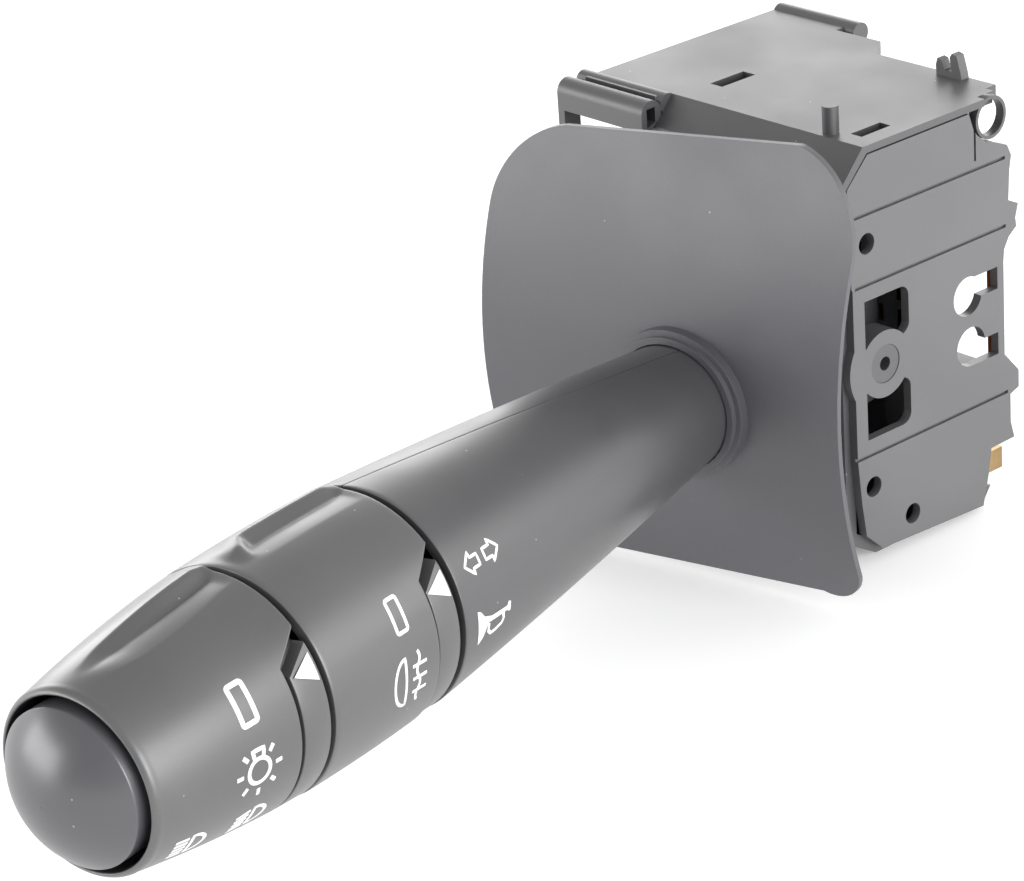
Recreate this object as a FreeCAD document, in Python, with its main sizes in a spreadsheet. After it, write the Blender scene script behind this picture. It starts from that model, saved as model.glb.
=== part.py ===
import FreeCAD, Part
import math
import os
from collections import namedtuple
from types import SimpleNamespace

import Sketcher
from FreeCAD import Placement, Rotation, Vector

# Combination stalk switch: a lever for indicators, flash, fog lamp, lights and horn.
# Frame: X = 0 is the fixing face on the driver's side, Y runs back towards the steering
# column, Z is up, and the origin lies midway between the two fixing holes.
# Millimetres and degrees. Stations along the lever are measured from its pivot.
SIZES = {
    # Housing: a moulded box, its roof carried past the left wall as a flange.
    "housing_width": 37.4,
    "housing_front": 4.1,
    "housing_back": 27.4,
    "housing_top": 31.8,
    "housing_bottom": 29.1,
    "housing_wall": 1.8,
    "front_chamfer_high": 4.1,
    "front_chamfer_deep": 3.9,
    "mouth_half_width": 12.3,
    "mouth_half_height": 11.6,
    "roof_step_x": 25.2,
    "roof_step_back": 34.0,
    "roof_back": 29.5,
    # Flange and its rolled ridges.
    "flange_width": 16.3,
    "flange_back": 37.0,
    "flange_inset": 2.0,
    "lip_drop": 5.4,
    "lip_thick": 1.4,
    "lip_ridge_radius": 1.9,
    "roof_ridge_radius": 1.5,
    "back_ridge_radius": 1.6,
    "leg_drop": 18.0,
    # Cover on the driver's side, with the bearing boss of the indicator pivot.
    "cover_thick": 1.4,
    "cover_gap": 0.25,
    "fixing_pitch": 36.0,
    "fixing_hole_radius": 1.5,
    "boss_radius": 4.9,
    "boss_edge_radius": 7.0,
    "boss_inward": 2.0,
    "window_width": 8.7,
    "window_height": 7.0,
    "window_corner": 1.6,
    "window_pitch": 13.5,
    "latch_hole_radius": 2.9,
    "latch_slot_height": 3.3,
    "groove_width": 0.5,
    "groove_depth": 0.5,
    # Details on the roof.
    "peg_radius": 1.15,
    "peg_height": 3.9,
    "eye_radius": 2.6,
    "eye_rim": 0.5,
    "eye_thick": 1.4,
    # Pivots. The yoke stands a little off the middle of the housing.
    "pivot_offset": 0.5,
    "pivot_depth": 3.0,
    "pivot_height": -0.5,
    "stalk_yaw": 11.6,
    "running_gap": 0.05,
    "collar_clearance": 0.15,
    "trunnion_radius": 2.75,
    "lever_pin_radius": 2.0,
    # Yoke.
    "yoke_side_gap": 7.4,
    "yoke_half_height": 8.9,
    "yoke_half_depth": 6.0,
    "yoke_wall": 3.0,
    "slide_arm_reach": 13.0,
    "slide_pin_radius": 1.2,
    # Lever core and the stations along it.
    "neck_reach": 29.7,
    "sleeve_length": 65.2,
    "band_length": 4.0,
    "ring_gap": 0.6,
    "fog_ring_length": 23.5,
    "light_knob_length": 27.3,
    "core_radius": 5.2,
    "core_bore": 3.2,
    "root_half_width": 5.5,
    "root_half_height": 5.6,
    "root_half_length": 7.0,
    "barrel_radius": 3.6,
    "barrel_reach": 13.0,
    "plunger_radius": 2.2,
    "plunger_reach": 17.5,
    "track_gap": 0.3,
    # Outer skin of the lever.
    "neck_radius": 8.9,
    "sleeve_mid_radius": 12.6,
    "sleeve_bore_radius": 9.2,
    "grip_radius": 15.0,
    "ring_swell": 0.15,
    "knob_mid_radius": 13.75,
    "knob_tip_radius": 11.8,
    "skin_wall": 1.6,
    "band_recess": 0.25,
    "floor_recess": 1.75,
    # Spans round the lever: the pointer bands, and the tongues that the grips lay over.
    "band_span": 136.0,
    "band_middle": -31.0,
    "fog_tongue_span": 185.0,
    "fog_tongue_middle": 132.5,
    "light_tongue_span": 150.0,
    "light_tongue_middle": 115.0,
    # Finger lobes.
    "lobe_height": 1.6,
    "lobe_half_width": 4.2,
    # Horn button in the tip.
    "button_radius": 10.2,
    "button_gap": 0.7,
    "button_crown": 5.0,
    "post_radius": 8.6,
    "bridge_half_width": 5.1,
    "bridge_width": 1.3,
    "disc_half_width": 8.3,
    "wiper_width": 1.6,
    # Shield that covers the slot in the column shroud.
    "shield_left": 33.0,
    "shield_right": 26.8,
    "shield_up": 37.4,
    "shield_down": 29.0,
    "shield_bend": 95.0,
    "shield_bend_height": 5.0,
    "shield_thick": 0.9,
    "collar_radius": 10.8,
    "collar_height": 2.2,
    # Rear carrier, connector and contacts.
    "fit_gap": 0.1,
    "rear_wall_front": 22.5,
    "rear_wall": 2.0,
    "socket_width": 13.5,
    "socket_floor": 14.5,
    "socket_top": 10.2,
    "socket_bottom": 9.2,
    "socket_wall": 1.5,
    "pin_pitch": 3.8,
    "pin_height": 2.4,
    "pin_thick": 0.8,
    "pin_tip": 22.0,
    "strip_thick": 0.5,
    "tab_thick": 0.8,
    "tab_height": 3.2,
    "tab_low": 25.4,
    "tab_reach": 28.2,
    "plate_thick": 1.0,
    "slide_height": 12.0,
    "pawl_thick": 3.6,
    "pawl_pin_radius": 1.0,
    "pawl_reach": 7.0,
}

doc = FreeCAD.newDocument("StalkSwitch")
sheet = doc.addObject("Spreadsheet::Sheet", "Sizes")
for row, (alias, number) in enumerate(SIZES.items(), start=1):
    sheet.set(f"A{row}", alias)
    sheet.set(f"B{row}", str(number))
    sheet.setAlias(f"B{row}", alias)
doc.recompute()


class Size:
    """A length or an angle: its value, and the sheet expression that gives it."""

    def __init__(self, value, text):
        self.value = float(value)
        self.text = text

    def __add__(self, other):
        other = size(other)
        return Size(self.value + other.value, f"({self.text} + {other.text})")

    def __sub__(self, other):
        other = size(other)
        return Size(self.value - other.value, f"({self.text} - {other.text})")

    def __mul__(self, other):
        other = size(other)
        return Size(self.value * other.value, f"({self.text} * {other.text})")

    def __truediv__(self, other):
        other = size(other)
        return Size(self.value / other.value, f"({self.text} / {other.text})")

    def __radd__(self, other):
        return size(other) + self

    def __rsub__(self, other):
        return size(other) - self

    def __rmul__(self, other):
        return size(other) * self

    def __neg__(self):
        return Size(-self.value, f"(-{self.text})")


def size(value):
    """A plain number as a Size; a Size stays as it is."""
    if isinstance(value, Size):
        return value
    return Size(value, repr(float(value)))


def bind(thing, prop, value):
    """Tie a property to the sheet where its size comes from the sheet."""
    if "Sizes." in value.text:
        thing.setExpression(prop, value.text)


d = SimpleNamespace(**{alias: Size(sheet.get(alias), f"Sizes.{alias}") for alias in SIZES})

Disc = namedtuple("Disc", "across up radius")
Via = namedtuple("Via", "across up")
NORMAL = {"XY": 1, "XZ": -1, "YZ": 1}
FULL_TURN = 360.0
HALF_TURN = 180.0


def place_point(sketch, geometry, point, across, up):
    """Constraints that hold one point of a sketch at its two sizes."""
    across = size(across)
    up = size(up)
    for kind, value in (("DistanceX", across), ("DistanceY", up)):
        index = sketch.addConstraint(
            Sketcher.Constraint(kind, -1, 1, geometry, point, value.value)
        )
        bind(sketch, f"Constraints[{index}]", value)


def draw_disc(sketch, disc):
    """A circle held by its centre and radius."""
    centre = Vector(size(disc.across).value, size(disc.up).value, 0)
    radius = size(disc.radius)
    circle = sketch.addGeometry(Part.Circle(centre, Vector(0, 0, 1), radius.value))
    place_point(sketch, circle, 3, disc.across, disc.up)
    index = sketch.addConstraint(Sketcher.Constraint("Radius", circle, radius.value))
    bind(sketch, f"Constraints[{index}]", radius)


def flat(corner):
    return Vector(size(corner[0]).value, size(corner[1]).value, 0)


def draw_outline(sketch, outline):
    """A closed outline of corners; a Via between two corners makes their side an arc."""
    corners = [item for item in outline if not isinstance(item, Via)]
    sides = []
    position = 0
    for item, following in zip(outline, outline[1:] + outline[:1]):
        if isinstance(item, Via):
            continue
        start = corners[position]
        end = corners[(position + 1) % len(corners)]
        position += 1
        if isinstance(following, Via):
            curve = Part.Arc(flat(start), flat(following), flat(end))
            side = sketch.addGeometry(curve)
            mark = sketch.addGeometry(Part.Point(flat(following)), True)
            place_point(sketch, mark, 1, following.across, following.up)
            sketch.addConstraint(Sketcher.Constraint("PointOnObject", mark, 1, side))
            reversed_arc = (sketch.getPoint(side, 1) - flat(start)).Length > 1e-6
            sides.append((side, 2 if reversed_arc else 1, 1 if reversed_arc else 2, start))
        else:
            side = sketch.addGeometry(Part.LineSegment(flat(start), flat(end)))
            sides.append((side, 1, 2, start))
    for (side, first, last, start), (after, after_first, _, _) in zip(sides, sides[1:] + sides[:1]):
        place_point(sketch, side, first, start[0], start[1])
        sketch.addConstraint(Sketcher.Constraint("Coincident", side, last, after, after_first))


def rectangle(left, bottom, right, top):
    return [(left, bottom), (right, bottom), (right, top), (left, top)]


def round_backed(left, bottom, right, top, radius):
    """Rectangle whose two right-hand corners are rounded."""
    cut = radius * (1 - math.sqrt(0.5))
    return [
        (left, bottom), (right - radius, bottom), Via(right - cut, bottom + cut),
        (right, bottom + radius), (right, top - radius), Via(right - cut, top - cut),
        (right - radius, top), (left, top),
    ]


def clipped(left, bottom, right, top, cut):
    """Rectangle with its four corners cut off at 45 degrees."""
    return [
        (left + cut, bottom), (right - cut, bottom), (right, bottom + cut), (right, top - cut),
        (right - cut, top), (left + cut, top), (left, top - cut), (left, bottom + cut),
    ]


class Piece:
    """A moulded or turned piece, built up feature by feature in one body."""

    def __init__(self, label, on_lever=False):
        self.body = doc.addObject("PartDesign::Body", label)
        self.body.Label = label
        self.label = label
        if on_lever:
            # Lever pieces stand along Z of their own frame, from the pivot to the tip.
            self.body.setExpression(
                "Placement",
                f"placement(vector({pivot_x.text}; Sizes.pivot_depth; Sizes.pivot_height);"
                " rotation(Sizes.stalk_yaw; 0; 90))",
            )
        pieces.append(self.body)

    def sketch(self, plane, offset, shapes, turn=0.0):
        """Sketch on an origin plane, moved along its normal or turned about its upright."""
        plane_object = next(
            f for f in self.body.Origin.OriginFeatures if f.Role == f"{plane}_Plane"
        )
        sketch = self.body.newObject("Sketcher::SketchObject", f"{self.label}_sketch")
        sketch.AttachmentSupport = (plane_object, [""])
        sketch.MapMode = "FlatFace"
        offset = size(offset)
        sketch.AttachmentOffset = Placement(
            Vector(0, 0, offset.value), Rotation(Vector(0, 1, 0), turn)
        )
        bind(sketch, "AttachmentOffset.Base.z", offset)
        for shape in shapes:
            if isinstance(shape, Disc):
                draw_disc(sketch, shape)
            else:
                draw_outline(sketch, shape)
        return sketch

    def pad(self, plane, low, high, *shapes):
        """Material between two levels along the plane's axis."""
        level = low if NORMAL[plane] > 0 else -size(high)
        feature = self.body.newObject("PartDesign::Pad", f"{self.label}_pad")
        return self.finish(feature, self.sketch(plane, level, shapes), size(high) - low)

    def pocket(self, plane, low, high, *shapes):
        """Material taken away between two levels along the plane's axis."""
        level = high if NORMAL[plane] > 0 else -size(low)
        feature = self.body.newObject("PartDesign::Pocket", f"{self.label}_pocket")
        return self.finish(feature, self.sketch(plane, level, shapes), size(high) - low)

    def finish(self, feature, sketch, length):
        feature.Profile = sketch
        feature.Length = length.value
        bind(feature, "Length", length)
        return feature

    def turn(self, outline, span=FULL_TURN, middle=0.0, cut=False):
        """Turned form about Z; a part turn is centred on an angle from X."""
        kind = "PartDesign::Groove" if cut else "PartDesign::Revolution"
        sketch = self.sketch("XZ", 0.0, [outline], turn=size(middle).value)
        feature = self.body.newObject(kind, f"{self.label}_turn")
        feature.Profile = sketch
        feature.ReferenceAxis = (sketch, ["V_Axis"])
        span = size(span)
        feature.Angle = span.value
        bind(feature, "Angle", span)
        feature.Midplane = span.value < FULL_TURN
        return feature


def box(name, low, high):
    """A plain block between two corners."""
    block = doc.addObject("Part::Box", name)
    for side, axis, start, end in zip(("Length", "Width", "Height"), "xyz", low, high):
        start = size(start)
        length = size(end) - start
        setattr(block, side, length.value)
        bind(block, side, length)
        setattr(block.Placement.Base, axis, start.value)
        bind(block, f"Placement.Base.{axis}", start)
    return block


def group(label, members):
    """Separate like pieces kept together under one name."""
    compound = doc.addObject("Part::Compound", label)
    compound.Label = label
    compound.Links = members
    pieces.append(compound)
    return compound


pieces = []
pivot_x = d.pivot_offset - d.housing_width / 2
pivot_y = d.pivot_depth
pivot_z = d.pivot_height
front = -d.housing_front
top = d.housing_top
bottom = -d.housing_bottom
left = -d.housing_width
cover_inside = -d.cover_thick
roof_under = top - d.housing_wall
wall_inside = left + d.housing_wall

# Stations along the lever.
plate_station = d.neck_reach - d.collar_height
sleeve_end = d.neck_reach + d.sleeve_length
fog_band_start = sleeve_end + d.ring_gap
fog_band_end = fog_band_start + d.band_length
fog_ring_end = fog_band_start + d.fog_ring_length
light_band_start = fog_ring_end + d.ring_gap
light_band_end = light_band_start + d.band_length
knob_end = light_band_start + d.light_knob_length
core_end = knob_end - 11.3
floor_radius = d.grip_radius - d.floor_recess
bore_on_core = d.core_radius + d.running_gap


def main_housing():
    """Roof, front, left wall and floor in one moulding, open on the right and at the back."""
    piece = Piece("main_housing")
    chamfer_z = top - d.front_chamfer_high
    chamfer_y = front + d.front_chamfer_deep
    sill_y = front + 5.5
    sill_z = bottom + 3.2
    piece.pad(
        "YZ", left, cover_inside,
        [(front, sill_z), (sill_y, bottom), (d.housing_back - 3.2, bottom),
         (d.housing_back, bottom + 4.5), (d.housing_back, top), (chamfer_y, top),
         (front, chamfer_z)],
    )
    wall = d.housing_wall
    open_back = d.housing_back + 1.0
    piece.pocket(
        "YZ", wall_inside, cover_inside,
        [(front + wall, sill_z + 1.0), (sill_y + 0.7, bottom + wall), (open_back, bottom + wall),
         (open_back, roof_under), (chamfer_y + 0.7, roof_under), (front + wall, chamfer_z - 0.7)],
    )
    mouth = rectangle(
        pivot_x - d.mouth_half_width, pivot_z - d.mouth_half_height,
        pivot_x + d.mouth_half_width, pivot_z + d.mouth_half_height,
    )
    piece.pocket("XZ", front - 1.0, front + wall, mouth)
    bearing = Disc(pivot_y, pivot_z, d.trunnion_radius + d.running_gap)
    piece.pocket("YZ", left, wall_inside, bearing)
    # Roof border that frames the cover's upper panel.
    panel_y = chamfer_y + 0.75
    panel_z = top - 1.05
    piece.pad(
        "YZ", cover_inside, 0.0,
        [(front, d.fixing_pitch / 2 + 4.6), (front + 0.4, d.fixing_pitch / 2 + 4.6),
         (front + 0.4, chamfer_z - 1.1), (panel_y, panel_z), (24.0, panel_z), (24.0, top),
         (chamfer_y, top), (front, chamfer_z)],
    )
    # Roof carried further back, in two steps.
    piece.pad(
        "XY", roof_under, top,
        [(left, d.housing_back), (-2.8, d.housing_back), (-2.8, d.roof_back),
         (-d.roof_step_x, d.roof_back), (-d.roof_step_x - 3.4, d.roof_step_back),
         (left, d.roof_step_back)],
    )
    # Flange to the left, with a lip that turns down at the front and ends in an open loop.
    lip_left = left - d.flange_width
    piece.pad(
        "XY", roof_under, top,
        rectangle(lip_left + d.flange_inset, front + 1.6, left, d.flange_back),
    )
    lip_right = left + 1.1
    lip_y = front - 2.2
    ridge_y = lip_y + d.lip_ridge_radius
    piece.pad(
        "YZ", lip_left, lip_right,
        [(lip_y, top - d.lip_drop), (lip_y + d.lip_thick, top - d.lip_drop - 0.6),
         (ridge_y + 1.6, top - 3.4), (ridge_y + 1.6, roof_under), (lip_y, roof_under)],
    )
    for y, z, radius in ((ridge_y, roof_under, d.lip_ridge_radius),
                         (ridge_y + 3.3, roof_under + 0.6, d.roof_ridge_radius)):
        piece.pad("YZ", lip_left, lip_right, Disc(y, z, radius))
    piece.pad(
        "YZ", lip_left + d.flange_inset, left + 2.0,
        Disc(d.flange_back, top - 0.9, d.back_ridge_radius),
    )
    piece.pad(
        "XY", top - d.leg_drop, roof_under,
        rectangle(lip_left, lip_y, lip_left + 1.3, lip_y + 3.0),
    )
    piece.pocket(
        "YZ", lip_right - 3.0, lip_right,
        [(lip_y + 1.0, top - d.lip_drop + 0.9), (ridge_y + 0.7, top - 3.2),
         (ridge_y + 0.7, roof_under + 0.8), (lip_y + 1.0, roof_under + 0.8)],
    )
    # Slots and locating peg in the roof.
    for slot in (rectangle(-35.1, 6.0, -32.7, 12.6), rectangle(-4.9, 2.7, -2.9, 8.4)):
        piece.pocket("XY", roof_under, top, slot)
    piece.pad("XY", roof_under, top + d.peg_height, Disc(-7.4, 1.5, d.peg_radius))
    # Forked clip at the back edge: two prongs that lean apart on one foot.
    foot = d.roof_back - 1.5
    piece.pad(
        "XZ", foot, d.roof_back,
        [(-12.4, top - 0.5), (-7.6, top - 0.5), (-7.9, top + 0.9), (-8.6, top + 3.3),
         (-9.5, top + 3.5), (-9.9, top + 2.9), (-9.6, top + 0.9), (-10.9, top + 0.9),
         (-11.5, top + 2.2), (-12.2, top + 2.4), (-12.5, top + 1.4)],
    )
    # Eye that the cover's back corner leaves free.
    eye_y = 25.5
    eye_z = top - 3.1
    eye_left = -d.eye_thick - 0.2
    piece.pad("YZ", eye_left, -0.2, Disc(eye_y, eye_z, d.eye_radius + d.eye_rim))
    piece.pocket("YZ", eye_left, -0.2, Disc(eye_y, eye_z, d.eye_radius))
    return piece


def side_cover():
    """Flat cover with the bearing boss, its two windows and the connector's latch holes."""
    piece = Piece("side_cover")
    edge = front + 1.1
    hole_z = d.fixing_pitch / 2
    groove_low = pivot_z - 12.6
    groove_mid = pivot_z + 12.6
    groove_high = hole_z + 4.2
    panel_y = front + d.front_chamfer_deep + 0.75
    panel_z = top - 1.05 - d.cover_gap
    back = d.housing_back
    piece.pad(
        "YZ", cover_inside, 0.0,
        [(front + 0.4 + d.cover_gap, groove_high), (front + 0.65, top - d.front_chamfer_high - 1.1),
         (panel_y + 0.1, panel_z), (20.8, panel_z), (21.6, 28.2), (22.4, 27.0), (24.3, 25.5),
         (25.2, 25.4), (25.6, 25.1), (28.5, 23.9), (29.3, 22.2), (28.9, 20.2),
         (28.6, groove_mid + 3.6), (29.8, groove_mid + 3.0), (30.6, groove_mid + 2.6),
         (30.0, groove_mid + 0.6), (30.2, groove_mid - 0.7), (28.6, groove_mid - 1.8),
         (back + 0.2, groove_mid - 3.4), (back, groove_mid - 5.2), (back, groove_low + 5.9),
         (30.3, groove_low + 2.6), (30.3, groove_low), (28.5, groove_low - 0.6),
         (28.5, -18.0), (29.2, -20.6), (24.3, -20.7), (23.6, -24.6), (22.4, bottom),
         (1.5, bottom + 1.1), (edge + 1.3, bottom + 4.1), (edge + 0.6, -20.0),
         (edge, groove_low), (edge, groove_mid), (front + 0.9, groove_mid),
         (front + 0.9, groove_high)],
    )
    piece.pad("YZ", cover_inside, 0.0, Disc(pivot_y, pivot_z, d.boss_edge_radius))
    window_y = pivot_y - 3.8
    for side in (-1, 1):
        window_z = pivot_z + side * d.window_pitch / 2
        piece.pocket(
            "YZ", cover_inside, 0.0,
            round_backed(
                window_y, window_z - d.window_height / 2,
                window_y + d.window_width, window_z + d.window_height / 2, d.window_corner,
            ),
        )
    boss_inside = cover_inside - d.boss_inward
    piece.pad("YZ", boss_inside, 0.0, Disc(pivot_y, pivot_z, d.boss_radius))
    piece.pocket(
        "YZ", boss_inside, 0.0, Disc(pivot_y, pivot_z, d.trunnion_radius + d.running_gap)
    )
    for y, z in ((0.0, hole_z), (0.0, -hole_z), (7.7, -24.9)):
        piece.pocket("YZ", cover_inside, 0.0, Disc(y, z, d.fixing_hole_radius))
    # Latch holes: a round window that opens into a slot towards the back.
    for y, z, slot_z in ((19.9, 4.0, 4.9), (20.4, -3.7, -5.0)):
        piece.pocket("YZ", cover_inside, 0.0, Disc(y, z, d.latch_hole_radius))
        piece.pocket(
            "YZ", cover_inside, 0.0,
            rectangle(y, slot_z - d.latch_slot_height / 2, 26.1, slot_z + d.latch_slot_height / 2),
        )
    half = d.groove_width / 2
    for y, z in ((front + 1.6, groove_high), (front + 1.6, groove_mid), (edge, groove_low)):
        piece.pocket("YZ", -d.groove_depth, 0.0, rectangle(y, z - half, 28.0, z + half))
    piece.pocket("YZ", -d.groove_depth, 0.0, rectangle(21.7, 23.4, 22.1, 28.2))
    return piece


def rear_carrier():
    """Back wall with the connector socket, closed on the right by the cover."""
    piece = Piece("rear_carrier")
    gap = d.fit_gap
    wall_front = d.rear_wall_front
    wall_back = wall_front + d.rear_wall
    low = bottom + d.housing_wall + gap
    high = roof_under - gap
    right = cover_inside - gap
    socket_left = right - d.socket_width
    floor_back = d.socket_floor + d.rear_wall
    piece.pad("XZ", wall_front, wall_back, rectangle(wall_inside + gap, low, socket_left, high))
    piece.pad(
        "XZ", d.socket_floor, d.housing_back,
        rectangle(socket_left, -d.socket_bottom - d.socket_wall,
                  right, d.socket_top + d.socket_wall),
    )
    piece.pocket(
        "XZ", floor_back, d.housing_back,
        rectangle(socket_left + d.socket_wall, -d.socket_bottom, right, d.socket_top),
    )
    piece.pad(
        "XZ", wall_front, wall_back,
        [(socket_left, d.socket_top + d.socket_wall), (right, d.socket_top + d.socket_wall),
         (right, 25.0), (-3.0, 25.0), (-3.0, high), (socket_left, high)],
    )
    piece.pad(
        "XZ", wall_front - 4.0, wall_front - 2.5,
        rectangle(socket_left, low, right, -d.socket_bottom - d.socket_wall),
    )
    piece.pad(
        "YZ", socket_left, socket_left + d.socket_wall,
        rectangle(wall_front - 4.0, low, wall_back, -d.socket_bottom - d.socket_wall),
    )
    clear = d.running_gap
    for x, z in pin_places():
        half_thick = d.pin_thick / 2 + clear
        half_high = d.pin_height / 2 + clear
        piece.pocket(
            "XZ", d.socket_floor, floor_back,
            rectangle(x - half_thick, z - half_high, x + half_thick, z + half_high),
        )
    tab_left = right - d.tab_thick
    piece.pocket(
        "XZ", wall_front - 4.0, wall_front - 2.5,
        rectangle(tab_left - clear, -d.tab_low - clear,
                  right, d.tab_height - d.tab_low + clear),
    )
    # Opening and ears for the cancelling pawl.
    x = pawl_x()
    half = d.pawl_thick / 2 + 0.2
    piece.pocket("XZ", wall_front, wall_back, rectangle(x - half, -5.5, x + half, 4.5))
    for side in (-1, 1):
        inner = x + side * half
        outer = inner + side * 1.3
        piece.pad(
            "XZ", wall_back, wall_back + 3.4,
            rectangle(inner, pivot_z - 2.6, outer, pivot_z + 2.6),
        )
    piece.pocket(
        "YZ", x - half - 1.3, x + half + 1.3,
        Disc(wall_back + 1.6, pivot_z, d.pawl_pin_radius),
    )
    return piece


def pin_places():
    """Centres of the connector's pins: two columns of five."""
    socket_middle = (d.socket_top - d.socket_bottom) / 2
    return [
        (size(x), socket_middle + row * d.pin_pitch)
        for x in (-11.5, -8.0)
        for row in (-2, -1, 0, 1, 2)
    ]


def pawl_x():
    return wall_inside + 4.1


def connector_pins():
    members = []
    for index, (x, z) in enumerate(pin_places()):
        half_thick = d.pin_thick / 2
        half_high = d.pin_height / 2
        members.append(
            box(f"pin_{index}", (x - half_thick, d.socket_floor, z - half_high),
                (x + half_thick, d.pin_tip, z + half_high))
        )
    return group("connector_pins", members)


def contact_rail():
    """Copper strip behind the latch slots, held between the socket's walls."""
    piece = Piece("contact_rail")
    right = cover_inside - d.fit_gap
    piece.pad(
        "XY", -d.socket_bottom, d.socket_top,
        rectangle(right - d.strip_thick, d.housing_back - 1.3, right, d.housing_back),
    )
    return piece


def earth_tab():
    """Brass tab beside the cover's lower back corner."""
    piece = Piece("earth_tab")
    right = cover_inside - d.fit_gap
    piece.pad(
        "XZ", d.rear_wall_front - 4.0, d.tab_reach,
        rectangle(right - d.tab_thick, -d.tab_low, right, d.tab_height - d.tab_low),
    )
    return piece


def detent_track():
    """Block whose hollow is centred on the pivot, so the plunger runs on it at every angle."""
    block = box(
        "track_block", (pivot_x - 8.0, 17.6, pivot_z - 7.0),
        (pivot_x + 1.3, d.rear_wall_front, pivot_z + 7.0),
    )
    hollow = doc.addObject("Part::Sphere", "track_hollow")
    radius = d.plunger_reach + d.track_gap
    hollow.Radius = radius.value
    bind(hollow, "Radius", radius)
    hollow.Placement.Base = Vector(pivot_x.value, pivot_y.value, pivot_z.value)
    for axis, value in zip("xyz", (pivot_x, pivot_y, pivot_z)):
        bind(hollow, f"Placement.Base.{axis}", value)
    track = doc.addObject("Part::Cut", "detent_track")
    track.Label = "detent_track"
    track.Base = block
    track.Tool = hollow
    pieces.append(track)
    return track


def contact_plate():
    """Insulating plate on the left wall, with rails for the indicator slide."""
    piece = Piece("contact_plate")
    face = wall_inside + d.plate_thick
    low = pivot_z - 13.0
    high = pivot_z + 13.0
    piece.pad("YZ", wall_inside, face, rectangle(-1.0, low, 20.5, high))
    piece.pocket("YZ", wall_inside, face, Disc(pivot_y, pivot_z, d.trunnion_radius + 0.5))
    for y in (8.2, 17.6):
        piece.pad("YZ", face, face + 2.6, rectangle(y, low, y + 0.7, high))
    return piece


def contact_tracks():
    face = wall_inside + d.plate_thick
    members = [
        box(f"contact_track_{index}", (face, y, pivot_z - 11.0), (face + 0.2, y + 1.4, pivot_z + 11.0))
        for index, y in enumerate((9.8, 12.3, 14.8))
    ]
    return group("contact_tracks", members)


def indicator_slide():
    """Carriage that the yoke's pin carries up and down over the contact tracks."""
    piece = Piece("indicator_slide")
    low = wall_inside + d.plate_thick + 0.7
    high = low + 3.0
    half = d.slide_height / 2
    piece.pad("YZ", low, high, rectangle(9.0, pivot_z - half, 17.5, pivot_z + half))
    pin_y = pivot_y + d.slide_arm_reach
    slot = d.slide_pin_radius + 0.08
    piece.pocket(
        "YZ", high - 2.0, high,
        rectangle(pin_y - 1.0 - slot, pivot_z - slot, 17.5, pivot_z + slot),
    )
    return piece


def indicator_wipers():
    low = wall_inside + d.plate_thick + 0.35
    high = wall_inside + d.plate_thick + 0.7
    members = [
        box(f"wiper_{index}", (low, y + 0.3, pivot_z - 2.0), (high, y + 1.1, pivot_z + 2.0))
        for index, y in enumerate((9.8, 12.3, 14.8))
    ]
    return group("indicator_wipers", members)


def yoke():
    """Frame round the lever's root, on two trunnions, with the arm that moves the slide."""
    piece = Piece("yoke")
    width = d.housing_width / 2 - d.yoke_side_gap
    height = d.yoke_half_height
    depth = d.yoke_half_depth
    wall = d.yoke_wall
    piece.pad(
        "YZ", pivot_x - width, pivot_x + width,
        clipped(pivot_y - depth, pivot_z - height, pivot_y + depth, pivot_z + height, wall / 2),
    )
    piece.pocket(
        "XZ", pivot_y - depth, pivot_y + depth,
        rectangle(pivot_x - width + wall, pivot_z - height + wall,
                  pivot_x + width - wall, pivot_z + height - wall),
    )
    piece.pad("YZ", pivot_x + width - 0.5, -0.1, Disc(pivot_y, pivot_z, d.trunnion_radius))
    piece.pad("YZ", left + 0.1, pivot_x - width + 0.5, Disc(pivot_y, pivot_z, d.trunnion_radius))
    piece.pocket("YZ", -2.6, -0.1, Disc(pivot_y, pivot_z, 1.0))
    arm_left = pivot_x - width
    pin_y = pivot_y + d.slide_arm_reach
    piece.pad(
        "YZ", arm_left, arm_left + wall,
        rectangle(pivot_y + depth - 0.5, pivot_z - 2.6, pin_y + 1.9, pivot_z + 2.6),
    )
    slide_face = wall_inside + d.plate_thick + 3.7
    piece.pad("YZ", slide_face - 1.7, arm_left, Disc(pin_y, pivot_z, d.slide_pin_radius))
    hole = Disc(pivot_x, pivot_y, d.lever_pin_radius)
    piece.pocket("XY", pivot_z - height, pivot_z + height, hole)
    return piece


def lever_pin():
    piece = Piece("lever_pin")
    reach = d.yoke_half_height
    piece.pad("XY", pivot_z - reach, pivot_z + reach, Disc(pivot_x, pivot_y, d.lever_pin_radius))
    piece.pad(
        "XY", pivot_z + reach, pivot_z + reach + 1.0,
        Disc(pivot_x, pivot_y, d.lever_pin_radius + 1.3),
    )
    return piece


def lever_core():
    """Root block, plunger barrel and the long tube that carries the rings and the horn."""
    piece = Piece("lever_core", on_lever=True)
    half_w = d.root_half_width
    half_h = d.root_half_height
    length = d.root_half_length
    piece.pad("XZ", -half_h, half_h, clipped(-half_w, -length, half_w, length, 1.6))
    inner = d.core_bore
    core = d.core_radius
    piece.turn([(0.0, length - 1.0), (core, length - 1.0), (core, core_end), (inner, core_end),
                (inner, length + 2.5), (0.0, length + 2.5)])
    barrel = d.barrel_radius
    reach = d.barrel_reach
    piece.turn([(0.0, -reach), (barrel, -reach), (barrel, 0.5 - length), (0.0, 0.5 - length)])
    bore = d.plunger_radius + d.running_gap
    piece.turn([(0.0, -reach), (bore, -reach), (bore, -3.2), (0.0, -3.2)], cut=True)
    piece.pocket("XZ", -half_h, half_h, Disc(0.0, 0.0, d.lever_pin_radius + d.running_gap))
    return piece


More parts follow.
